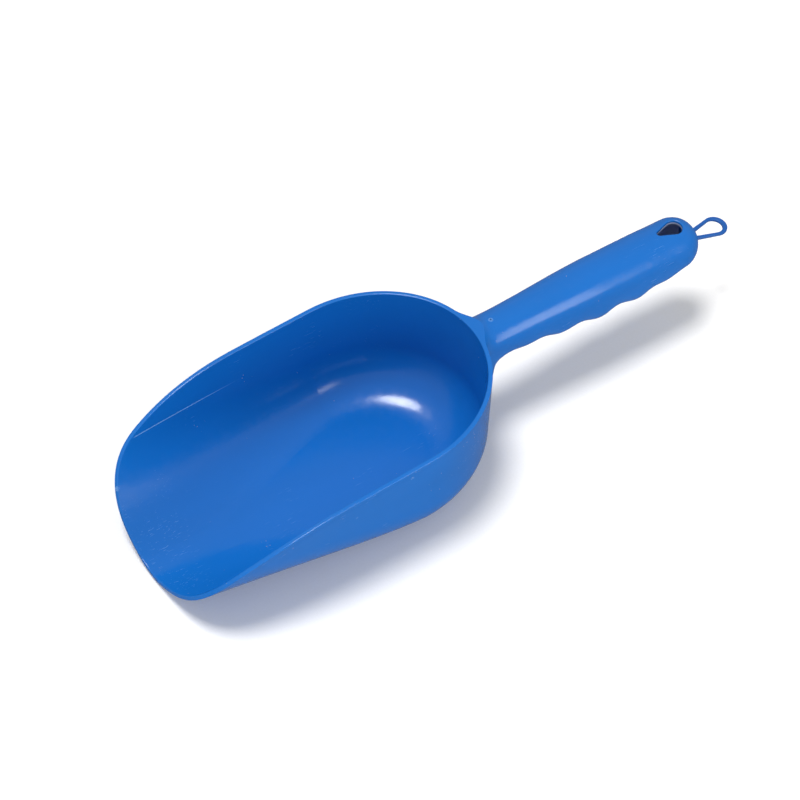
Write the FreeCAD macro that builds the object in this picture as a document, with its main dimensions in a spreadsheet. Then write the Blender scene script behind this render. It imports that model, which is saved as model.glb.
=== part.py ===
"""Feed scoop: an open trough with a hollow handle, an end plug and a hanging loop.

Frame: +Z up, +Y from the lip towards the handle, X = 0 is the plane of symmetry.
The scoop stands on the flat of its floor at Z = 0. Lengths are in millimetres.
"""
import FreeCAD, Part
import math
import os
import Sketcher
from FreeCAD import Placement, Rotation, Vector

SIZES = {
    # the frame's origin is under the middle of the overall length
    "origin_y": 180.2,
    # trough
    "nose_y": -8.0,
    "rear_y": 131.0,
    "rear_length": 66.0,
    "block_height": 84.0,
    "gauge_height": 75.0,
    "nose_base_half": 34.8,
    "rear_base_half": 58.0,
    "nose_rim_half": 62.6,
    "rear_rim_half": 59.5,
    "nose_corner_radius": 70.5,
    "rear_corner_radius": 28.3,
    "floor_crown": -0.3,
    "nose_rise": 2.6,
    "wall": 2.4,
    # rim line in side view
    "lip_y": -3.5,
    "lip_radius": 97.0,
    "lip_turn": 7.2,
    "shoulder_radius": 48.0,
    "shoulder_turn": 55.1,
    "crest_radius": 147.0,
    "crest_slope": 2.7,
    "rim_cut_end": 214.0,
    "rim_edge": 0.5,
    # handle
    "neck_y": 180.0,
    "axis_z": 56.6,
    "axis_drop": 1.05,
    "neck_radius": 12.4,
    "neck_drop": 0.4,
    "flare_drop": 13.0,
    "flare_end_y": 215.0,
    "flare_length": 19.0,
    "grip_radius": 14.8,
    "grip_drop": 4.3,
    "ball_y": 327.2,
    "ball_radius": 14.4,
    "ball_drop": 0.8,
    "wave_depth": 2.5,
    "wave_pitch": 24.6,
    "first_wave_y": 222.4,
    "neck_fillet": 10.0,
    "handle_wall": 2.7,
    "hollow_front_y": 224.0,
    # teardrop window
    "window_tip_y": 313.1,
    "window_centre_y": 327.2,
    "window_radius": 4.8,
    "window_tip_round": 1.6,
    "window_edge": 0.7,
    # gate mark on the neck
    "gate_y": 207.4,
    "gate_outer": 0.95,
    "gate_inner": 0.5,
    "gate_height": 0.35,
    "gate_root": 2.0,
    # end plug, measured from the ball's centre
    "plug_radius": 5.6,
    "plug_start": 9.0,
    "bead_radius": 6.0,
    "bead_top": 10.1,
    "bead_height": 0.9,
    # hanging loop, measured from the ball's centre along its own plane
    "loop_drop": 0.6,
    "loop_tilt": 7.4,
    "loop_height": 1.7,
    "loop_edge": 0.45,
    "ring_tip": -1.0,
    "ring_centre": 30.2,
    "ring_radius": 6.8,
    "eye_tip": 10.5,
    "eye_centre": 29.4,
    "eye_radius": 4.8,
    "tongue_end": 14.1,
    "tongue_half": 3.1,
    "barb_half": 4.2,
    "barb_length": 1.8,
}
TROUGH_STATIONS = (0.0, 0.25, 0.5, 0.75, 1.0)
# how fast the base, the rim and corners, and the raised nose change along the trough
BASE_POWER = 1.7
RIM_POWER = 1.25
NOSE_POWER = 6
# ranges of Y over which the handle's sizes change, and the sections round its ball end
WIDTH_SWELL = (208.0, 276.0)
WIDTH_EASE = (303.0, 327.2)
DEPTH_SWELL = (199.0, 278.0)
DEPTH_EASE = (309.0, 327.2)
WAVES_IN = (208.0, 242.0)
WAVES_OUT = (318.0, 327.2)
BALL_TURNS = (14, 28, 42, 55, 66, 72)
HANDLE_STEP = 6.0
# tools that cut right through reach this far outside the scoop
CLEAR = 40.0
TINY = 0.001
XZ_PLANE = Rotation(Vector(1, 0, 0), 90)
YZ_PLANE = Rotation(Vector(1, 1, 1), 120)
HEADER = "Sizes"

doc = FreeCAD.newDocument("FeedScoop")
sheet = doc.addObject("Spreadsheet::Sheet", HEADER)
for row, (alias, value) in enumerate(SIZES.items(), start=1):
    sheet.set(f"A{row}", alias)
    sheet.set(f"B{row}", str(value))
    sheet.setAlias(f"B{row}", alias)
doc.recompute()


def size(alias):
    """A driving dimension read back from the sheet."""
    return float(sheet.get(alias))


def cell(alias):
    """The same dimension as a term of an expression."""
    return f"<<{HEADER}>>.{alias}"


def add(kind, name, **values):
    """A document object with plain property values."""
    item = doc.addObject(kind, name)
    for key, value in values.items():
        setattr(item, key, value)
    return item


def bound(sketch, kind, *terms, expression=None, name=None):
    """A constraint, driven by an expression when one is given."""
    index = sketch.addConstraint(Sketcher.Constraint(kind, *terms))
    if expression:
        sketch.renameConstraint(index, name)
        sketch.setExpression(f"Constraints.{name}", expression)
    return index


def join(sketch, kind, pairs):
    """Coincident or tangent end points, each pair as (edge, end, edge, end)."""
    for pair in pairs:
        bound(sketch, kind, *pair)


# --- trough -----------------------------------------------------------------

def trough_terms(share):
    """Base half width, rim half width and corner radius at a share of the length, as expressions."""
    spread = 1 - (1 - share) ** BASE_POWER
    fade = (1 - share) ** RIM_POWER
    base = f"({cell('nose_base_half')} * {1 - spread} + {cell('rear_base_half')} * {spread})"
    rim = f"({cell('nose_rim_half')} * {fade} + {cell('rear_rim_half')} * {1 - fade})"
    radius = f"({cell('nose_corner_radius')} * {fade} + {cell('rear_corner_radius')} * {1 - fade})"
    floor = f"({cell('floor_crown')} + {cell('nose_rise')} * {(1 - share) ** NOSE_POWER})"
    return base, rim, radius, floor


def trough_values(share):
    """The same four quantities, worked out for the sketch's starting geometry."""
    spread = 1 - (1 - share) ** BASE_POWER
    fade = (1 - share) ** RIM_POWER
    base = size("nose_base_half") * (1 - spread) + size("rear_base_half") * spread
    rim = size("nose_rim_half") * fade + size("rear_rim_half") * (1 - fade)
    radius = size("nose_corner_radius") * fade + size("rear_corner_radius") * (1 - fade)
    floor = size("floor_crown") + size("nose_rise") * (1 - share) ** NOSE_POWER
    return base, rim, radius, floor


def arc(centre, radius, start, end):
    return Part.ArcOfCircle(Part.Circle(centre, Vector(0, 0, 1), radius), start, end)


def trough_section(name, share, inset, half):
    """Cross-section of the trough: crowned floor, round corners, leaning walls, flat top.

    With inset the section is that of the inner surface; half keeps the side X >= 0.
    """
    base, rim, radius, floor = trough_values(share)
    thick = size("wall") if inset else 0.0
    top = size("block_height") + thick
    lean = math.atan((rim - base) / size("gauge_height"))
    corner_x = base + radius * math.tan(lean) - radius / math.cos(lean)
    offset = -(floor ** 2 + corner_x ** 2) / (2 * floor)
    spread = math.atan2(corner_x / offset, (floor + offset) / offset)
    crown_radius = radius + offset - thick
    crown_centre = Vector(0, floor + radius + offset, 0)
    corner_radius = radius - thick
    down = -math.pi / 2
    wall_foot = Vector(corner_x + corner_radius * math.cos(lean), radius - corner_radius * math.sin(lean), 0)
    wall_top = Vector(wall_foot.x + (top - wall_foot.y) * math.tan(lean), top, 0)

    sketch = add("Sketcher::SketchObject", name)
    right_corner = arc(Vector(corner_x, radius, 0), corner_radius, down + spread, -lean)
    right_wall = Part.LineSegment(wall_foot, wall_top)
    if half:
        bottom = Vector(0, crown_centre.y - crown_radius, 0)
        crest = Vector(0, top, 0)
        edges = [Part.LineSegment(crest, bottom), Part.LineSegment(wall_top, crest), right_wall,
                 right_corner, arc(crown_centre, crown_radius, down, down + spread)]
        sketch.addGeometry(edges, False)
        axis, lid, wall, corner, crown = range(5)
        join(sketch, "Coincident", [(axis, 1, lid, 2), (lid, 1, wall, 2), (crown, 1, axis, 2)])
        join(sketch, "Tangent", [(wall, 1, corner, 2), (corner, 1, crown, 2)])
        join(sketch, "PointOnObject", [(axis, 1, -2), (axis, 2, -2), (crown, 3, -2)])
        bound(sketch, "Horizontal", lid)
        low_edge, low_end = axis, 2
    else:
        left_top = Vector(-wall_top.x, wall_top.y, 0)
        left_foot = Vector(-wall_foot.x, wall_foot.y, 0)
        edges = [Part.LineSegment(left_top, wall_top), right_wall, right_corner,
                 arc(crown_centre, crown_radius, down - spread, down + spread),
                 arc(Vector(-corner_x, radius, 0), corner_radius,
                     math.pi + lean, down - spread + 2 * math.pi),
                 Part.LineSegment(left_foot, left_top)]
        sketch.addGeometry(edges, False)
        lid, wall, corner, crown, left_corner, left_wall = range(6)
        join(sketch, "Coincident", [(lid, 2, wall, 2), (lid, 1, left_wall, 2)])
        join(sketch, "Tangent", [(wall, 1, corner, 2), (corner, 1, crown, 2),
                                 (crown, 1, left_corner, 2), (left_corner, 1, left_wall, 1)])
        bound(sketch, "Symmetric", lid, 1, lid, 2, -2)
        bound(sketch, "Symmetric", corner, 3, left_corner, 3, -2)
        bound(sketch, "PointOnObject", crown, 3, -2)
        low = sketch.addGeometry(Part.Point(Vector(0, crown_centre.y - crown_radius, 0)), True)
        bound(sketch, "PointOnObject", low, 1, -2)
        bound(sketch, "PointOnObject", low, 1, crown)
        low_edge, low_end = low, 1

    base_x, rim_x, radius_x, floor_x = trough_terms(share)
    inset_x = cell("wall") if inset else "0"
    top_x = f"({cell('block_height')} + {inset_x})"
    rise_x = f"(({rim_x} - {base_x}) / {cell('gauge_height')})"
    half_x = f"{base_x} + {rise_x} * {top_x} - {inset_x} * sqrt(1 + {rise_x} ^ 2)"
    bound(sketch, "DistanceY", -1, 1, wall, 2, top, name="top", expression=top_x)
    bound(sketch, "DistanceX", -1, 1, wall, 2, wall_top.x, name="half_width", expression=half_x)
    bound(sketch, "Angle", wall, math.pi / 2 - lean, name="lean", expression=f"90 deg - atan({rise_x})")
    bound(sketch, "Radius", corner, corner_radius, name="corner", expression=f"{radius_x} - {inset_x}")
    bound(sketch, "DistanceY", -1, 1, corner, 3, radius, name="corner_height", expression=radius_x)
    bound(sketch, "DistanceY", -1, 1, low_edge, low_end, floor + thick, name="floor",
          expression=f"{floor_x} + {inset_x}")
    return sketch


def place_section(sketch, y_expression, y_value):
    sketch.Placement = Placement(Vector(0, y_value, 0), XZ_PLANE)
    sketch.setExpression("Placement.Base.y", y_expression)


def trough_block(name, inset):
    """Solid under the outer (or inner) surface of the trough, up to a flat top above the rim."""
    sections = []
    for number, share in enumerate(TROUGH_STATIONS):
        section = trough_section(f"{name}_section_{number}", share, inset, half=False)
        y_value = size("nose_y") * (1 - share) + size("rear_y") * share
        place_section(section, f"{cell('nose_y')} * {1 - share} + {cell('rear_y')} * {share}", y_value)
        sections.append(section)
    front = add("Part::Loft", f"{name}_front", Sections=sections, Solid=True, Ruled=False)

    half_section = trough_section(f"{name}_rear_section", 1.0, inset, half=True)
    half_section.Placement = Placement(Vector(0, 0, 0), XZ_PLANE)
    bowl = add("Part::Revolution", f"{name}_bowl", Source=half_section, Axis=Vector(0, 0, 1),
               Base=Vector(0, 0, 0), Angle=180.0, Solid=True)
    rear = add("Part::Scale", f"{name}_rear", Base=bowl, Uniform=False, XScale=1.0, ZScale=1.0)
    inset_term = cell("wall") if inset else "0"
    rear.setExpression("YScale", f"({cell('rear_length')} - {inset_term}) / "
                                 f"({cell('rear_rim_half')} - {inset_term})")
    rear.setExpression("Placement.Base.y", cell("rear_y"))
    return front, rear


def rim_cutter():
    """Everything in front of the lip and above the rim line, as one prism across the scoop."""
    far_y, far_z, low_z = size("nose_y") - CLEAR, size("block_height") + CLEAR, -CLEAR
    lip_turn = math.radians(size("lip_turn"))
    shoulder_turn = math.radians(size("shoulder_turn"))
    slope = math.radians(size("crest_slope"))
    crest_turn = math.pi / 2 - slope - lip_turn - shoulder_turn
    point = Vector(size("lip_y"), 0, 0)
    edges = [Part.LineSegment(Vector(point.x, low_z, 0), point)]
    heading = 0.0
    arcs = (("lip_radius", lip_turn), ("shoulder_radius", shoulder_turn), ("crest_radius", crest_turn))
    for alias, turn in arcs:
        radius = size(alias)
        centre = point + Vector(radius * math.cos(heading), -radius * math.sin(heading), 0)
        start = math.pi - heading
        edges.append(arc(centre, radius, start - turn, start))
        heading += turn
        point = centre + Vector(-radius * math.cos(heading), radius * math.sin(heading), 0)
    end = Vector(size("rim_cut_end"), point.y + (size("rim_cut_end") - point.x) * math.tan(slope), 0)
    corners = [point, end, Vector(end.x, far_z, 0), Vector(far_y, far_z, 0),
               Vector(far_y, low_z, 0), Vector(size("lip_y"), low_z, 0)]
    edges += [Part.LineSegment(first, second) for first, second in zip(corners, corners[1:])]

    sketch = add("Sketcher::SketchObject", "rim_line")
    sketch.addGeometry(edges, False)
    front, lip, shoulder, crest, run, back, top, far, base = range(9)
    join(sketch, "Coincident", [(run, 2, back, 1), (back, 2, top, 1), (top, 2, far, 1),
                                (far, 2, base, 1), (base, 2, front, 1)])
    join(sketch, "Tangent", [(front, 2, lip, 2), (lip, 1, shoulder, 2), (shoulder, 1, crest, 2),
                             (crest, 1, run, 1)])
    for edge in (front, back, far):
        bound(sketch, "Vertical", edge)
    for edge in (top, base):
        bound(sketch, "Horizontal", edge)
    bound(sketch, "DistanceX", -1, 1, front, 2, size("lip_y"), name="lip", expression=cell("lip_y"))
    bound(sketch, "DistanceY", -1, 1, front, 2, 0.0)
    bound(sketch, "DistanceY", -1, 1, front, 1, low_z)
    bound(sketch, "DistanceX", -1, 1, far, 1, far_y)
    bound(sketch, "DistanceY", -1, 1, top, 1, far_z)
    bound(sketch, "DistanceX", -1, 1, back, 1, end.x, name="cut_end", expression=cell("rim_cut_end"))
    for edge, alias in ((lip, "lip_radius"), (shoulder, "shoulder_radius"), (crest, "crest_radius")):
        bound(sketch, "Radius", edge, size(alias), name=alias, expression=cell(alias))
    bound(sketch, "Angle", lip, lip_turn, name="lip_turn", expression=f"{cell('lip_turn')} * 1 deg")
    bound(sketch, "Angle", shoulder, shoulder_turn, name="shoulder_turn",
          expression=f"{cell('shoulder_turn')} * 1 deg")
    bound(sketch, "Angle", run, slope, name="slope", expression=f"{cell('crest_slope')} * 1 deg")
    sketch.Placement = Placement(Vector(0, 0, 0), YZ_PLANE)
    width = 2 * (size("nose_rim_half") + CLEAR)
    return add("Part::Extrusion", "rim_cutter", Base=sketch, Dir=Vector(1, 0, 0), DirMode="Custom",
               LengthFwd=width, Symmetric=True, Solid=True)


# --- handle -----------------------------------------------------------------

def smooth(low, high, y):
    """0 below low, 1 above high, and a smooth step between."""
    share = min(max((y - low) / (high - low), 0.0), 1.0)
    return share * share * (3 - 2 * share)


def axis_height(y):
    """Height of the handle's axis, which drops a little towards the rear."""
    return f"({cell('axis_z')} - {y - size('gate_y')} * tan({cell('axis_drop')} * 1 deg))"


def ball_height():
    """Height of the centre of the ball end."""
    return axis_height(size("ball_y"))


def handle_section(name, y, turn, inset):
    """Cross-section of the handle: two half circles one above the other, joined by short upright sides.

    The upper half follows the axis; the drop of the lower half makes the belly, the finger waves and
    the deeper neck, so the top of the handle stays smooth. turn is the angle round the ball end, in
    degrees. With inset the section is that of the hollow inside.
    """
    widen, narrow = smooth(*WIDTH_SWELL, y), smooth(*WIDTH_EASE, y)
    deepen, fade = smooth(*DEPTH_SWELL, y), smooth(*DEPTH_EASE, y)
    wave = 0.5 * math.cos(2 * math.pi * (y - size("first_wave_y")) / size("wave_pitch"))
    wave = wave * smooth(*WAVES_IN, y) * (1 - smooth(*WAVES_OUT, y))
    flare = min(max((size("flare_end_y") - y) / size("flare_length"), 0.0), 1.0) ** 2
    wall = cell("handle_wall") if inset else "0"
    radius = (f"({cell('neck_radius')} * {1 - widen} + {cell('grip_radius')} * {widen - narrow}"
              f" + {cell('ball_radius')} * {narrow} - {wall}) * cos({turn} deg)")
    drop = (f"({cell('neck_drop')} * {1 - deepen} + {cell('grip_drop')} * {deepen - fade}"
            f" + {cell('ball_drop')} * {fade} + {cell('wave_depth')} * {wave}"
            f" + {cell('flare_drop')} * {flare}) * cos({turn} deg)")
    sketch = add("Sketcher::SketchObject", name)
    sketch.Placement = Placement(Vector(0, y, 0), XZ_PLANE)
    sketch.setExpression("Placement.Base.y", f"{y} + ({cell('ball_radius')} - {wall}) * sin({turn} deg)")
    sketch.setExpression("Placement.Base.z", axis_height(y))
    start_radius, start_drop = size("neck_radius"), size("grip_drop")
    right_low, left_low = Vector(start_radius, -start_drop, 0), Vector(-start_radius, -start_drop, 0)
    sketch.addGeometry([
        arc(Vector(0, 0, 0), start_radius, 0, math.pi),
        Part.LineSegment(Vector(-start_radius, 0, 0), left_low),
        arc(Vector(0, -start_drop, 0), start_radius, math.pi, 2 * math.pi),
        Part.LineSegment(right_low, Vector(start_radius, 0, 0)),
    ], False)
    upper, left, lower, right = range(4)
    join(sketch, "Tangent", [(upper, 2, left, 1), (left, 2, lower, 1),
                             (lower, 2, right, 1), (right, 2, upper, 1)])
    bound(sketch, "Coincident", upper, 3, -1, 1)
    bound(sketch, "PointOnObject", lower, 3, -2)
    bound(sketch, "Radius", upper, start_radius, name="radius", expression=radius)
    bound(sketch, "DistanceY", lower, 3, -1, 1, start_drop, name="drop", expression=drop)
    return sketch


def handle_loft(name, start_y, inset):
    """Sections from start_y to the ball's centre and on round the ball end, lofted."""
    length = size("ball_y") - start_y
    count = round(length / HANDLE_STEP)
    places = [(start_y + length * number / count, 0.0) for number in range(count + 1)]
    places += [(size("ball_y"), turn) for turn in BALL_TURNS]
    sections = [handle_section(f"{name}_section_{number}", y, turn, inset)
                for number, (y, turn) in enumerate(places)]
    return add("Part::Loft", name, Sections=sections, Solid=True, Ruled=False)


def handle_hollow():
    """The closed hollow of the handle and the round hole in its end that the plug fills."""
    bore = handle_loft("hollow", size("hollow_front_y"), inset=True)
    hole = add("Part::Cylinder", "plug_hole")
    hole.Placement = Placement(Vector(0, size("ball_y"), 0), Rotation(Vector(1, 0, 0), -90))
    hole.setExpression("Radius", cell("plug_radius"))
    hole.setExpression("Height", f"2 * {cell('ball_radius')}")
    hole.setExpression("Placement.Base.z", ball_height())
    return [bore, hole]


def teardrop(name, tip_y, centre_y, radius, owner=None):
    """Closed teardrop outline pointing at -Y: a round end and two straight sides to a tip."""
    tip, centre, r = (float(value[1]) for value in (tip_y, centre_y, radius))
    opening = math.acos(r / (centre - tip))
    touch = Vector(r * math.sin(opening), centre - r * math.cos(opening), 0)
    left = Vector(-touch.x, touch.y, 0)
    sharp = Vector(0, tip, 0)
    sketch = owner.newObject("Sketcher::SketchObject", name) if owner else add("Sketcher::SketchObject", name)
    start = -math.pi / 2 + opening
    sketch.addGeometry([arc(Vector(0, centre, 0), r, start, math.pi - start),
                        Part.LineSegment(sharp, touch), Part.LineSegment(left, sharp)], False)
    join(sketch, "Tangent", [(1, 2, 0, 1), (0, 2, 2, 1)])
    join(sketch, "Coincident", [(1, 1, 2, 2)])
    bound(sketch, "PointOnObject", 0, 3, -2)
    bound(sketch, "PointOnObject", 1, 1, -2)
    bound(sketch, "DistanceY", -1, 1, 0, 3, centre, name="centre", expression=centre_y[0])
    bound(sketch, "DistanceY", -1, 1, 1, 1, tip, name="tip", expression=tip_y[0])
    bound(sketch, "Radius", 0, r, name="round_end", expression=radius[0])
    return sketch


def term(alias):
    """An expression and its present value, for a single cell."""
    return cell(alias), size(alias)


def window():
    """Prism of the teardrop window, cut through the top wall of the handle only."""
    sketch = teardrop("window_outline", term("window_tip_y"), term("window_centre_y"), term("window_radius"))
    sketch.Placement.Base = Vector(0, 0, size("axis_z"))
    prism = add("Part::Extrusion", "window_prism", Base=sketch, Dir=Vector(0, 0, 1), DirMode="Custom",
                LengthFwd=CLEAR, Solid=True)
    near_tip = size("window_tip_y") + TINY
    return rounded("window_form", prism, lambda point: point.y < near_tip, "window_tip_round")


def gate_mark():
    """The small raised ring left by the moulding gate on top of the neck."""
    parts = []
    for name, radius in (("gate_disc", "gate_outer"), ("gate_hole", "gate_inner")):
        disc = add("Part::Cylinder", name)
        disc.Placement = Placement(Vector(0, size("gate_y"), 0), Rotation())
        disc.setExpression("Radius", cell(radius))
        disc.setExpression("Height", f"({cell('gate_root')} + {cell('gate_height')}) * 1 mm")
        disc.setExpression("Placement.Base.z", f"{axis_height(size('gate_y'))} + {cell('neck_radius')}"
                                               f" - {cell('gate_root')}")
        disc.setExpression("Placement.Base.y", cell("gate_y"))
        parts.append(disc)
    return parts


def edges_near(shape, test):
    """1-based numbers of the edges whose every sampled point passes the test."""
    numbers = []
    for number, edge in enumerate(shape.Edges, start=1):
        first, last = edge.ParameterRange
        points = [edge.valueAt(first + (last - first) * step / 8) for step in range(9)]
        if all(test(point) for point in points):
            numbers.append(number)
    return numbers


def rounded(name, base, test, alias):
    """Rolling-ball fillet on the edges of base that pass the test."""
    doc.recompute()
    numbers = edges_near(base.Shape, test)
    if not numbers:
        raise RuntimeError(f"{name}: no edge to round")
    radius = size(alias)
    return add("Part::Fillet", name, Base=base, Edges=[(number, radius, radius) for number in numbers])


def scoop_body():
    outer_front, outer_rear = trough_block("outer", inset=False)
    inner_front, inner_rear = trough_block("inner", inset=True)
    trough = add("Part::MultiFuse", "trough_outside", Shapes=[outer_front, outer_rear], Refine=True)
    grip = handle_loft("grip", size("neck_y"), inset=False)
    joined = add("Part::MultiFuse", "outside", Shapes=[trough, grip], Refine=False)
    neck_reach = size("neck_radius") + size("neck_drop") + size("flare_drop") + size("wall")

    def on_neck(point):
        height = point.z - size("axis_z")
        return math.hypot(point.x, height) < neck_reach and size("rear_y") < point.y < size("gate_y")

    blended = rounded("neck_blend", joined, on_neck, "neck_fillet")
    hollow = add("Part::MultiFuse", "trough_inside", Shapes=[inner_front, inner_rear], Refine=True)
    shell = add("Part::Cut", "shell", Base=blended, Tool=hollow, Refine=False)
    cutter = rim_cutter()
    rim = add("Part::Cut", "rim", Base=shell, Tool=cutter, Refine=False)
    half_width = size("nose_rim_half") + CLEAR
    floor = add("Part::Box", "below_floor",
                Length=2 * half_width, Width=size("ball_y") + 2 * CLEAR, Height=CLEAR)
    floor.Placement.Base = Vector(-half_width, -CLEAR, -CLEAR)
    gate_disc, gate_hole = gate_mark()
    marked = add("Part::MultiFuse", "gated", Shapes=[rim, gate_disc], Refine=False)
    flat = add("Part::Cut", "flat_floor", Base=marked, Tool=floor, Refine=False)
    tools = add("Part::MultiFuse", "hollows", Shapes=[*handle_hollow(), gate_hole], Refine=False)
    hollowed = add("Part::Cut", "hollowed", Base=flat, Tool=tools, Refine=False)
    pierced = add("Part::Cut", "pierced", Base=hollowed, Tool=window(), Refine=False)
    outer_skin = size("axis_z") + size("ball_radius") - size("handle_wall")
    window_half = size("window_radius") + TINY

    def on_window(point):
        return point.z > outer_skin and abs(point.x) < window_half and point.y > size("window_tip_y")

    def on_rim(point):
        return point.z > 0 and cutter.Shape.distToShape(Part.Vertex(point))[0] < TINY

    windowed = rounded("windowed", pierced, on_window, "window_edge")
    body = rounded("scoop_body", windowed, on_rim, "rim_edge")
    body.Label = "scoop_body"
    body.setExpression("Placement.Base.y", f"-{cell('origin_y')}")
    return body


# --- end plug and hanging loop -----------------------------------------------

def plane(body, role):
    """The body's own origin plane with this role."""
    for feature in body.Origin.OriginFeatures:
        if feature.Role == role:
            return feature
    raise LookupError(role)


def strip(sketch, low, high, half, low_term, high_term, half_term):
    """A rectangle symmetric about the local Y axis between two heights."""
    corners = [Vector(-half, low, 0), Vector(half, low, 0), Vector(half, high, 0), Vector(-half, high, 0)]
    sketch.addGeometry([Part.LineSegment(a, b) for a, b in zip(corners, corners[1:] + corners[:1])], False)
    join(sketch, "Coincident", [(k, 2, (k + 1) % 4, 1) for k in range(4)])
    bound(sketch, "Symmetric", 0, 1, 0, 2, -2)
    bound(sketch, "Symmetric", 2, 1, 2, 2, -2)
    bound(sketch, "DistanceX", -1, 1, 0, 2, half, name="half_width", expression=half_term)
    bound(sketch, "Equal", 0, 2)
    bound(sketch, "DistanceY", -1, 1, 0, 1, low, name="low", expression=low_term)
    bound(sketch, "DistanceY", -1, 1, 2, 1, high, name="high", expression=high_term)


def end_plug():
    """Turned plug in the round hole of the ball end: domed face, snap bead behind the wall.

    Its axis is its local Y and its origin is the ball's centre.
    """
    body = add("PartDesign::Body", "end_plug")
    body.Label = "end_plug"
    ball, plug, bead = size("ball_radius"), size("plug_radius"), size("bead_radius")
    start, top, step = size("plug_start"), size("bead_top"), bead - plug
    mouth = math.sqrt(ball ** 2 - plug ** 2)
    points = [Vector(0, start, 0), Vector(plug - step, start, 0), Vector(bead, top - size("bead_height"), 0),
              Vector(bead, top - step, 0), Vector(plug, top, 0), Vector(plug, mouth, 0)]
    edges = [Part.LineSegment(first, second) for first, second in zip(points, points[1:])]
    edges.append(arc(Vector(0, 0, 0), ball, math.atan2(mouth, plug), math.pi / 2))
    edges.append(Part.LineSegment(Vector(0, ball, 0), points[0]))
    sketch = body.newObject("Sketcher::SketchObject", "plug_profile")
    sketch.AttachmentSupport = (plane(body, "XY_Plane"), "")
    sketch.MapMode = "FlatFace"
    sketch.addGeometry(edges, False)
    base, lead, rim, shoulder, side, dome, axis = range(7)
    join(sketch, "Coincident", [(base, 2, lead, 1), (lead, 2, rim, 1), (rim, 2, shoulder, 1),
                                (shoulder, 2, side, 1), (side, 2, dome, 1), (dome, 2, axis, 1),
                                (axis, 2, base, 1)])
    bound(sketch, "Horizontal", base)
    for edge in (rim, side):
        bound(sketch, "Vertical", edge)
    for end in (1, 2):
        bound(sketch, "PointOnObject", axis, end, -2)
    bound(sketch, "Coincident", dome, 3, -1, 1)
    bound(sketch, "Radius", dome, ball, name="ball", expression=cell("ball_radius"))
    bound(sketch, "DistanceX", -1, 1, side, 1, plug, name="plug", expression=cell("plug_radius"))
    bound(sketch, "DistanceX", -1, 1, rim, 1, bead, name="bead", expression=cell("bead_radius"))
    bound(sketch, "DistanceX", -1, 1, base, 2, plug - step, name="lead_in",
          expression=f"2 * {cell('plug_radius')} - {cell('bead_radius')}")
    bound(sketch, "DistanceY", -1, 1, base, 1, start, name="start", expression=cell("plug_start"))
    bound(sketch, "DistanceY", -1, 1, shoulder, 2, top, name="top", expression=cell("bead_top"))
    bound(sketch, "DistanceY", -1, 1, rim, 2, top - step, name="shoulder",
          expression=f"{cell('bead_top')} - {cell('bead_radius')} + {cell('plug_radius')}")
    bound(sketch, "DistanceY", -1, 1, rim, 1, top - size("bead_height"), name="lead_top",
          expression=f"{cell('bead_top')} - {cell('bead_height')}")
    turned = body.newObject("PartDesign::Revolution", "plug_turned")
    turned.Profile = sketch
    turned.ReferenceAxis = (sketch, ["V_Axis"])
    turned.Angle = 360.0
    doc.recompute()
    slot = body.newObject("Sketcher::SketchObject", "tongue_slot")
    slot.AttachmentSupport = (plane(body, "XZ_Plane"), "")
    slot.MapMode = "FlatFace"
    tilt = math.radians(size("loop_tilt"))
    half_height = size("loop_height") / 2 / math.cos(tilt)
    half_term = f"{cell('loop_height')} / 2 / cos({cell('loop_tilt')} * 1 deg)"
    drop = size("loop_drop")
    strip(slot, -drop - half_height, -drop + half_height, size("tongue_half"),
          f"-{cell('loop_drop')} - {half_term}", f"{half_term} - {cell('loop_drop')}", cell("tongue_half"))
    cut = body.newObject("PartDesign::Pocket", "tongue_opening")
    cut.Profile = slot
    cut.Type = "Length"
    cut.UseCustomVector = True
    cut.Direction = Vector(0, math.cos(tilt), -math.sin(tilt))
    cut.Midplane = True
    cut.setExpression("Length", f"4 * {cell('ball_radius')}")
    full = turned.Shape.Volume
    doc.recompute()
    if cut.Shape.Volume > full - 1:
        raise RuntimeError("the tongue slot cuts nothing")
    body.setExpression("Placement.Base.y", f"{cell('ball_y')} - {cell('origin_y')}")
    body.setExpression("Placement.Base.z", ball_height())
    return body


def pad(body, name, sketch):
    """Pad to both sides of the sketch plane, as thick as the loop."""
    item = body.newObject("PartDesign::Pad", name)
    item.Profile = sketch
    item.Midplane = True
    item.setExpression("Length", cell("loop_height"))
    return item


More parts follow.
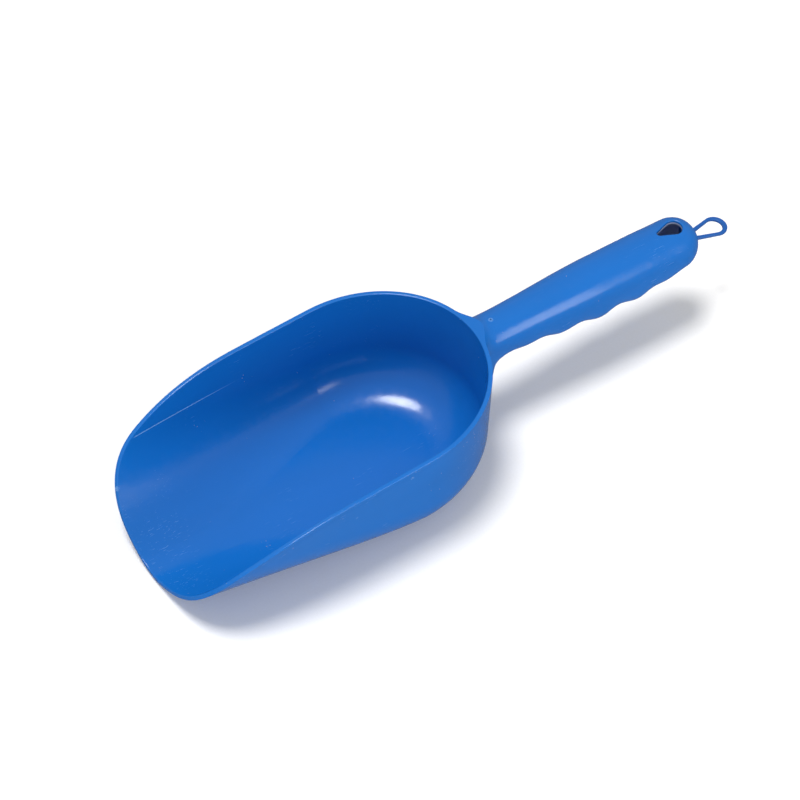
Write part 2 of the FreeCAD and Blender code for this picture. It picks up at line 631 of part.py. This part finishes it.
def hang_loop():
    """Flat teardrop eyelet with a tongue through the plug and a barb behind it.

    It lies in its local XY plane, which drops a little towards the rear.
    """
    body = add("PartDesign::Body", "hang_loop")
    body.Label = "hang_loop"
    flat = (plane(body, "XY_Plane"), "")
    ring_outline = teardrop("ring_outline", term("ring_tip"), term("ring_centre"),
                            term("ring_radius"), owner=body)
    eye_outline = teardrop("eye_outline", term("eye_tip"), term("eye_centre"), term("eye_radius"), owner=body)
    for sketch in (ring_outline, eye_outline):
        sketch.AttachmentSupport = flat
        sketch.MapMode = "FlatFace"
    ring = pad(body, "ring", ring_outline)
    eye = body.newObject("PartDesign::Pocket", "eye")
    eye.Profile = eye_outline
    eye.Type = "ThroughAll"
    eye.Midplane = True
    doc.recompute()
    if eye.Shape.Volume > ring.Shape.Volume - 1:
        raise RuntimeError("the eye cuts nothing")
    outside = size("ball_radius")
    edges = [f"Edge{number}" for number in edges_near(eye.Shape, lambda point: point.y > outside)]
    soft = body.newObject("PartDesign::Fillet", "soft_edges")
    soft.Base = (eye, edges)
    soft.setExpression("Radius", cell("loop_edge"))
    start, end = size("plug_start"), size("tongue_end")
    for name, half, low, high, low_term, high_term in (
            ("tongue", "tongue_half", start, end, cell("plug_start"), cell("tongue_end")),
            ("barb", "barb_half", start - size("barb_length"), start,
             f"{cell('plug_start')} - {cell('barb_length')}", cell("plug_start"))):
        sketch = body.newObject("Sketcher::SketchObject", f"{name}_outline")
        sketch.AttachmentSupport = flat
        sketch.MapMode = "FlatFace"
        strip(sketch, low, high, size(half), low_term, high_term, cell(half))
        pad(body, name, sketch)
    body.Placement = Placement(Vector(0, 0, 0), Rotation(Vector(1, 0, 0), -size("loop_tilt")))
    body.setExpression("Placement.Base.y", f"{cell('ball_y')} - {cell('origin_y')}")
    body.setExpression("Placement.Base.z", f"{ball_height()} - {cell('loop_drop')}")
    doc.recompute()
    return body


def write(pieces):
    """Check every object, then write one STEP file for each piece."""
    doc.recompute()
    failed = [item.Name for item in doc.Objects if {"Invalid", "Error"} & set(item.State)]
    if failed:
        raise RuntimeError(f"failed objects: {failed}")
    for piece in pieces:
        if piece.Shape.isNull() or not piece.Shape.isValid() or len(piece.Shape.Solids) != 1:
            raise RuntimeError(f"{piece.Label}: not one valid solid")
    os.makedirs("parts", exist_ok=True)
    for piece in pieces:
        piece.Shape.exportStep(f"parts/{piece.Label}.step")
        box = piece.Shape.optimalBoundingBox()
        print(piece.Label, "volume", round(piece.Shape.Volume), "mm3, from",
              [round(value, 2) for value in (box.XMin, box.YMin, box.ZMin)], "to",
              [round(value, 2) for value in (box.XMax, box.YMax, box.ZMax)])


write([scoop_body(), end_plug(), hang_loop()])
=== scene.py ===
"""Feed scoop in blue moulded plastic: its materials, a plain studio and the camera.

Everything is in metres in the part's own frame: +Z up, +Y from the lip to the handle.
"""
import math
import bpy
from mathutils import Matrix, Vector


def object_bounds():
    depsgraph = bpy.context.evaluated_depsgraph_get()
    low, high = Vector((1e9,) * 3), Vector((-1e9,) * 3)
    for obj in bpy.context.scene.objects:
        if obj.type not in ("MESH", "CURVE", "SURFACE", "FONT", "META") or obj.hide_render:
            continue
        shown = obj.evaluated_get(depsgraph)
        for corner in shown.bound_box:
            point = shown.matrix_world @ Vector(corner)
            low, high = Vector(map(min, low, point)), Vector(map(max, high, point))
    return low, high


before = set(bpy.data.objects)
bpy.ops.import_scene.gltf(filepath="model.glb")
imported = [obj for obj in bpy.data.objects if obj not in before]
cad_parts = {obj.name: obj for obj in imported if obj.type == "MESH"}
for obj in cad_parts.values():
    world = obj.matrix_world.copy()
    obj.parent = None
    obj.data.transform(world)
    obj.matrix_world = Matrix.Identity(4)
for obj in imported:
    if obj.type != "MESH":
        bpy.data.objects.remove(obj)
cad_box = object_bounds()
MM = 0.001
CENTRE = (cad_box[0] + cad_box[1]) / 2


# --- node helpers -------------------------------------------------------------

class Nodes:
    """Short calls that add shader nodes to one material's tree."""

    def __init__(self, material):
        material.use_nodes = True
        self.tree = material.node_tree
        self.tree.nodes.clear()
        self.place = self.add("ShaderNodeTexCoord").outputs["Object"]
        self.x, self.y, self.z = self.add("ShaderNodeSeparateXYZ", {0: self.place}).outputs

    def add(self, kind, inputs=(), **settings):
        node = self.tree.nodes.new(kind)
        for key, value in settings.items():
            setattr(node, key, value)
        for key, value in dict(inputs).items():
            self.feed(node.inputs[key], value)
        return node

    def feed(self, socket, value):
        if isinstance(value, bpy.types.NodeSocket):
            self.tree.links.new(value, socket)
        else:
            socket.default_value = value

    def math(self, operation, first, second=0.0, clamp=False):
        node = self.add("ShaderNodeMath", {0: first, 1: second}, operation=operation, use_clamp=clamp)
        return node.outputs[0]

    def stretched(self, scale, turn=(0.0, 0.0, 0.0), shift=(0.0, 0.0, 0.0)):
        """Position, turned and scaled, for a texture that runs along one direction."""
        inputs = {"Vector": self.place, "Scale": scale, "Rotation": turn, "Location": shift}
        return self.add("ShaderNodeMapping", inputs).outputs[0]

    def noise(self, scale, detail=2.0, roughness=0.5, vector=None):
        inputs = {"Vector": vector or self.place, "Scale": scale, "Detail": detail, "Roughness": roughness}
        return self.add("ShaderNodeTexNoise", inputs).outputs["Fac"]

    def band(self, value, low, high, start=0.0, end=1.0):
        """value mapped from low..high to start..end, smoothly and held at the ends."""
        inputs = {"Value": value, "From Min": low, "From Max": high, "To Min": start, "To Max": end}
        return self.add("ShaderNodeMapRange", inputs, interpolation_type="SMOOTHSTEP").outputs["Result"]

    def mix(self, share, first, second):
        node = self.add("ShaderNodeMix", data_type="RGBA")
        self.feed(node.inputs["Factor"], share)
        self.feed(node.inputs["A"], first)
        self.feed(node.inputs["B"], second)
        return node.outputs["Result"]

    def near(self, point, radius, softness=0.4):
        """1 inside a small ball about a point, 0 outside it."""
        offset = self.add("ShaderNodeVectorMath", {0: self.place, 1: point}, operation="DISTANCE")
        return self.band(offset.outputs["Value"], radius * (1 - softness), radius * (1 + softness), 1.0, 0.0)

    def share_of(self, share, amount):
        """A share made weaker, or turned into a height or a roughness."""
        return self.math("MULTIPLY", share, amount)

    def every(self, *shares):
        """The product of several 0 to 1 shares."""
        product = shares[0]
        for share in shares[1:]:
            product = self.math("MULTIPLY", product, share)
        return product


# --- moulded plastic ------------------------------------------------------------

BLUE = (0.0045, 0.137, 0.500, 1.0)
LOOP_BLUE = (0.004, 0.088, 0.350, 1.0)
PALE_WEAR_AND_HIGHLIGHT_BLUE = (0.20, 0.45, 0.85, 1.0)     # bruised or scratched plastic, and the painted highlight along the mould line
HOLLOW_PAINTED_LIGHT_BLUE = (0.50, 0.58, 0.80, 1.0)     # painted light: a pale blue that lightens the dim inside wall of the hollow handle
DUST = (0.45, 0.40, 0.34, 1.0)
PLASTIC_IOR = 1.49

# how far each mark stands out of the surface, in metres
PEEL_HEIGHT = 6e-6
GRAIN_HEIGHT = 0.5e-6
MOTTLE_HEIGHT = 12e-6
SCRATCH_DEPTH = 12e-6
KNOCK_DEPTH = 120e-6
SPECK_HEIGHT = 60e-6
MOULD_LINE_HEIGHT = 80e-6

# hairline scratches run three ways: the turn and the shift of each set
SCRATCH_SETS = ((0.35, 0.0), (-0.9, 3.1), (1.4, 7.7))
SCRATCH_SCALE = (2600.0, 110.0, 2600.0)


def witness_line_and_highlight(n):
    """The fine mould line along the inside of the left wall, from the lip towards the rear: a raised ridge
    with a painted highlight along it.
    """
    start_x, start_y, start_z = -51.5 * MM, -161.5 * MM, 45.4 * MM
    end_y = -92.0 * MM
    fade_in, fade_out = 3.0 * MM, 30.0 * MM
    outward_slope, downward_slope = 0.064, 0.02
    along = n.math("SUBTRACT", n.y, start_y)
    line_z = n.math("SUBTRACT", start_z, n.share_of(along, downward_slope))
    wall_x = n.math("SUBTRACT", start_x, n.share_of(along, outward_slope))
    off_line = n.math("ABSOLUTE", n.math("SUBTRACT", n.z, line_z))
    inward = n.math("SUBTRACT", n.x, wall_x)
    return n.every(
        n.band(off_line, 0.15 * MM, 0.35 * MM, 1.0, 0.0),
        n.band(inward, -1.6 * MM, -1.0 * MM),
        n.band(inward, 4.0 * MM, 6.0 * MM, 1.0, 0.0),
        n.band(along, 0.0, fade_in),
        n.band(n.y, end_y - fade_out, end_y, 1.0, 0.0),
    )


def handle_inside_painted_light(n):
    """1 on the wall of the hollow behind the teardrop window, 0 outside: where the body gets painted light
    as a paler blue.
    """
    ball_y, axis_z = 147.0 * MM, 54.6 * MM
    past_ball = n.math("MAXIMUM", n.math("SUBTRACT", n.y, ball_y), 0.0)
    above_axis = n.math("SUBTRACT", n.z, axis_z)
    off_axis = n.add("ShaderNodeCombineXYZ", {"X": n.x, "Y": past_ball, "Z": above_axis}).outputs[0]
    reach = n.add("ShaderNodeVectorMath", {0: off_axis}, operation="LENGTH").outputs["Value"]
    within_wall = n.band(reach, 12.3 * MM, 12.9 * MM, 1.0, 0.0)
    near_window = n.band(n.y, 118.0 * MM, 122.0 * MM)
    return n.every(within_wall, near_window)


def moulded_plastic(name, colour, gloss, nicks=(), scuffs=(), pale=(), body=False):
    """A glossy moulded plastic with flow marks, orange peel, hairline scratches, nicks and dust.

    nicks are (point, radius) in metres where the edge is knocked and shows pale.
    scuffs are (point, radius) where many short scratches lie together.
    pale are (point, radius) where the plastic is painted a paler blue.
    body adds the marks that only the scoop's body has: the mould line with a painted highlight along it, and
    painted light inside the hollow handle.
    """
    material = bpy.data.materials.new(name)
    n = Nodes(material)
    flow = n.noise(14.0, detail=3.0, vector=n.stretched((1.0, 0.35, 1.0)))
    mottle = n.noise(260.0, detail=3.0)
    peel = n.noise(900.0, detail=2.0)
    grain = n.noise(5200.0, detail=1.0)

    hair = 0.0
    for angle, shift in SCRATCH_SETS:
        lengthwise = n.stretched(SCRATCH_SCALE, (0.0, 0.0, angle), (shift,) * 3)
        line = n.noise(1.0, detail=1.0, vector=lengthwise)
        hair = n.math("MAXIMUM", hair, n.band(line, 0.70, 0.78))
    patch = n.band(n.noise(35.0, detail=2.0), 0.52, 0.66, 0.06, 0.5)
    for point, radius in scuffs:
        patch = n.math("MAXIMUM", patch, n.near(point, radius, 0.6))
    scratches = n.every(hair, patch)

    speck_cells = n.add("ShaderNodeTexVoronoi", {"Vector": n.place, "Scale": 420.0, "Randomness": 1.0})
    speck_size = n.band(n.noise(60.0, detail=1.0), 0.58, 0.75, 0.0, 0.11)
    specks = n.math("LESS_THAN", speck_cells.outputs["Distance"], speck_size)

    knocks = 0.0
    for point, radius in nicks:
        torn = n.band(n.noise(2400.0, detail=3.0), 0.42, 0.60)
        knocks = n.math("MAXIMUM", knocks, n.every(n.near(point, radius, 0.5), torn))

    light = tuple(min(1.0, channel * 1.07) for channel in colour[:3]) + (1.0,)
    dark = tuple(channel * 0.93 for channel in colour[:3]) + (1.0,)
    tone = n.mix(n.band(flow, 0.3, 0.7), dark, light)
    tone = n.mix(n.share_of(scratches, 0.35), tone, PALE_WEAR_AND_HIGHLIGHT_BLUE)
    tone = n.mix(n.share_of(knocks, 0.8), tone, PALE_WEAR_AND_HIGHLIGHT_BLUE)
    tone = n.mix(n.share_of(specks, 0.7), tone, DUST)
    for point, radius in pale:
        tone = n.mix(n.share_of(n.near(point, radius, 0.3), 0.45), tone, PALE_WEAR_AND_HIGHLIGHT_BLUE)
    if body:
        mould_line_and_highlight = witness_line_and_highlight(n)
        hollow = handle_inside_painted_light(n)
        # painted highlight: the mould line is painted pale blue along its ridge
        tone = n.mix(n.share_of(mould_line_and_highlight, 0.75), tone, PALE_WEAR_AND_HIGHLIGHT_BLUE)
        # painted light: the inside wall of the hollow behind the window is painted a pale blue instead of
        # lying in shade
        tone = n.mix(hollow, tone, HOLLOW_PAINTED_LIGHT_BLUE)

    rough = n.band(mottle, 0.3, 0.7, gloss - 0.03, gloss + 0.03)
    rough = n.math("ADD", rough, n.share_of(flow, 0.05))
    rough = n.math("ADD", rough, n.share_of(n.math("MAXIMUM", scratches, knocks), 0.25))
    rough = n.math("ADD", rough, n.share_of(specks, 0.4), clamp=True)

    height = n.share_of(peel, PEEL_HEIGHT)
    height = n.math("ADD", height, n.share_of(grain, GRAIN_HEIGHT))
    height = n.math("ADD", height, n.share_of(mottle, MOTTLE_HEIGHT))
    height = n.math("SUBTRACT", height, n.share_of(scratches, SCRATCH_DEPTH))
    height = n.math("SUBTRACT", height, n.share_of(knocks, KNOCK_DEPTH))
    height = n.math("ADD", height, n.share_of(specks, SPECK_HEIGHT))
    if body:
        rough = n.band(hollow, 0.0, 1.0, rough, 0.7)
        height = n.math("ADD", height, n.share_of(mould_line_and_highlight, MOULD_LINE_HEIGHT))
    bump = n.add("ShaderNodeBump", {"Height": height, "Distance": 1.0, "Strength": 1.0})

    shader = n.add("ShaderNodeBsdfPrincipled", {
        "Base Color": tone,
        "Roughness": rough,
        "Normal": bump.outputs["Normal"],
        "IOR": PLASTIC_IOR,
    })
    n.add("ShaderNodeOutputMaterial", {"Surface": shader.outputs["BSDF"]})
    return material


# knocks on the rim and lip, scuffed places inside the lip, and a paler patch painted over the gate mark
RIM_NICKS = [
    ((-40.3 * MM, -178.6 * MM, 27.0 * MM), 1.3 * MM),
    ((-14.0 * MM, -183.6 * MM, 5.0 * MM), 1.1 * MM),
    ((57.0 * MM, -95.0 * MM, 52.0 * MM), 1.4 * MM),
    ((58.5 * MM, -62.0 * MM, 62.0 * MM), 1.1 * MM),
    ((58.8 * MM, -30.0 * MM, 66.0 * MM), 1.2 * MM),
]
LIP_SCUFFS = [
    ((-12.0 * MM, -168.0 * MM, 4.0 * MM), 16.0 * MM),
    ((14.0 * MM, -172.0 * MM, 5.0 * MM), 12.0 * MM),
]
GATE_MARK = ((0.0, 27.2 * MM, 69.2 * MM), 1.3 * MM)

finishes = {
    "scoop_body": moulded_plastic(
        "blue_plastic_body", BLUE, 0.18, nicks=RIM_NICKS, scuffs=LIP_SCUFFS, pale=[GATE_MARK], body=True,
    ),
    "end_plug": moulded_plastic("blue_plastic_plug", BLUE, 0.30),
    "hang_loop": moulded_plastic("blue_plastic_loop", LOOP_BLUE, 0.34),
}
for node, finish in finishes.items():
    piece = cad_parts[node]
    piece.data.materials.clear()
    piece.data.materials.append(finish)


# --- studio -----------------------------------------------------------------------

WHITE = (1.0, 1.0, 1.0, 1.0)
SKY_RAMP = {"From Min": -0.05, "From Max": 0.35, "To Min": 0.20, "To Max": 0.43}


def studio_floor():
    """A wide sheet of off-white paper that gives no mirror image in the plastic."""
    material = bpy.data.materials.new("floor_paper")
    n = Nodes(material)
    fibre = n.noise(700.0, detail=4.0)
    tone = n.mix(n.band(fibre, 0.3, 0.7), (0.95, 0.94, 0.92, 1.0), (0.97, 0.96, 0.94, 1.0))
    shader = n.add("ShaderNodeBsdfPrincipled", {"Base Color": tone, "Roughness": 0.85})
    n.add("ShaderNodeOutputMaterial", {"Surface": shader.outputs["BSDF"]})
    bpy.ops.mesh.primitive_circle_add(vertices=96, radius=40.0, fill_type="NGON")
    floor = bpy.context.object
    floor.name = "studio_floor"
    floor.data.materials.append(material)
    floor.visible_glossy = False


def studio_sky():
    """A soft dome of light, dim near the horizon, in front of a pale backdrop that only the camera sees."""
    world = bpy.data.worlds.new("studio_sky")
    bpy.context.scene.world = world
    world.use_nodes = True
    tree = world.node_tree
    tree.nodes.clear()
    direction = tree.nodes.new("ShaderNodeTexCoord").outputs["Generated"]
    parts = tree.nodes.new("ShaderNodeSeparateXYZ")
    tree.links.new(direction, parts.inputs[0])
    ramp = tree.nodes.new("ShaderNodeMapRange")
    ramp.interpolation_type = "SMOOTHSTEP"
    for key, value in SKY_RAMP.items():
        ramp.inputs[key].default_value = value
    tree.links.new(parts.outputs["Z"], ramp.inputs["Value"])
    dome = tree.nodes.new("ShaderNodeBackground")
    dome.inputs["Color"].default_value = WHITE
    tree.links.new(ramp.outputs["Result"], dome.inputs["Strength"])
    backdrop = tree.nodes.new("ShaderNodeBackground")
    backdrop.inputs["Color"].default_value = WHITE
    backdrop.inputs["Strength"].default_value = 1.0
    seen = tree.nodes.new("ShaderNodeLightPath").outputs["Is Camera Ray"]
    choice = tree.nodes.new("ShaderNodeMixShader")
    out = tree.nodes.new("ShaderNodeOutputWorld")
    for source, target in ((seen, 0), (dome.outputs[0], 1), (backdrop.outputs[0], 2)):
        tree.links.new(source, choice.inputs[target])
    tree.links.new(choice.outputs[0], out.inputs[0])


def aim(thing, toward):
    """Turn a lamp so that it shines from the direction toward, back along it."""
    thing.rotation_mode = "QUATERNION"
    thing.rotation_quaternion = Vector(toward).to_track_quat("Z", "Y")


def key_light():
    """The main lamp, nearly overhead, leaning left and forward, broad enough for soft shadow edges."""
    lamp = bpy.data.lights.new("key_light", "SUN")
    lamp.energy = 2.25
    lamp.angle = math.radians(20.0)
    key = bpy.data.objects.new("key_light", lamp)
    bpy.context.scene.collection.objects.link(key)
    aim(key, (-0.125, -0.145, 1.0))


def softbox(name, direction, width, height, distance, radiance, glossy=True):
    """A rectangular lamp that faces the scoop and that the camera can't see."""
    lamp = bpy.data.lights.new(name, "AREA")
    lamp.shape = "RECTANGLE"
    lamp.size, lamp.size_y = width, height
    lamp.energy = radiance * math.pi * width * height
    box = bpy.data.objects.new(name, lamp)
    bpy.context.scene.collection.objects.link(box)
    direction = Vector(direction).normalized()
    box.location = CENTRE + direction * distance
    aim(box, direction)
    box.visible_camera = False
    box.visible_glossy = glossy


def camera():
    """The camera looks down from the right of the lip, with a long lens.

    azimuth is turned from the lip's side towards +X, and shift slides the camera in its own plane.
    """
    azimuth, elevation, roll = (math.radians(angle) for angle in (54.86, 51.65, 1.53))
    lens_to_sensor = 4.13
    distance = 1738.9 * MM
    aim_point = Vector((0.0, -30.2, 30.0)) * MM
    shift_x, shift_y = -0.85 * MM, -6.85 * MM
    back = Vector((
        math.sin(azimuth) * math.cos(elevation),
        -math.cos(azimuth) * math.cos(elevation),
        math.sin(elevation),
    ))
    level = Vector((math.cos(azimuth), math.sin(azimuth), 0.0))
    upright = back.cross(level)
    right = math.cos(roll) * level + math.sin(roll) * upright
    up = math.cos(roll) * upright - math.sin(roll) * level
    data = bpy.data.cameras.new("camera")
    data.sensor_width = 36.0
    data.lens = lens_to_sensor * data.sensor_width
    data.clip_start, data.clip_end = 0.05, 200.0
    eye = bpy.data.objects.new("camera", data)
    bpy.context.scene.collection.objects.link(eye)
    turn = Matrix((right, up, back)).transposed()
    place = aim_point + back * distance - right * shift_x - up * shift_y
    eye.matrix_world = Matrix.Translation(place) @ turn.to_4x4()
    bpy.context.scene.camera = eye


studio_floor()
studio_sky()
key_light()
softbox("side_softbox", (0.880, 0.270, 0.350), width=0.8, height=1.35, distance=2.2, radiance=4.2)
softbox("front_fill", (0.75, -0.62, 0.30), width=1.6, height=1.0, distance=2.4, radiance=1.6, glossy=False)
camera()
bpy.context.scene.view_settings.view_transform = "Standard"
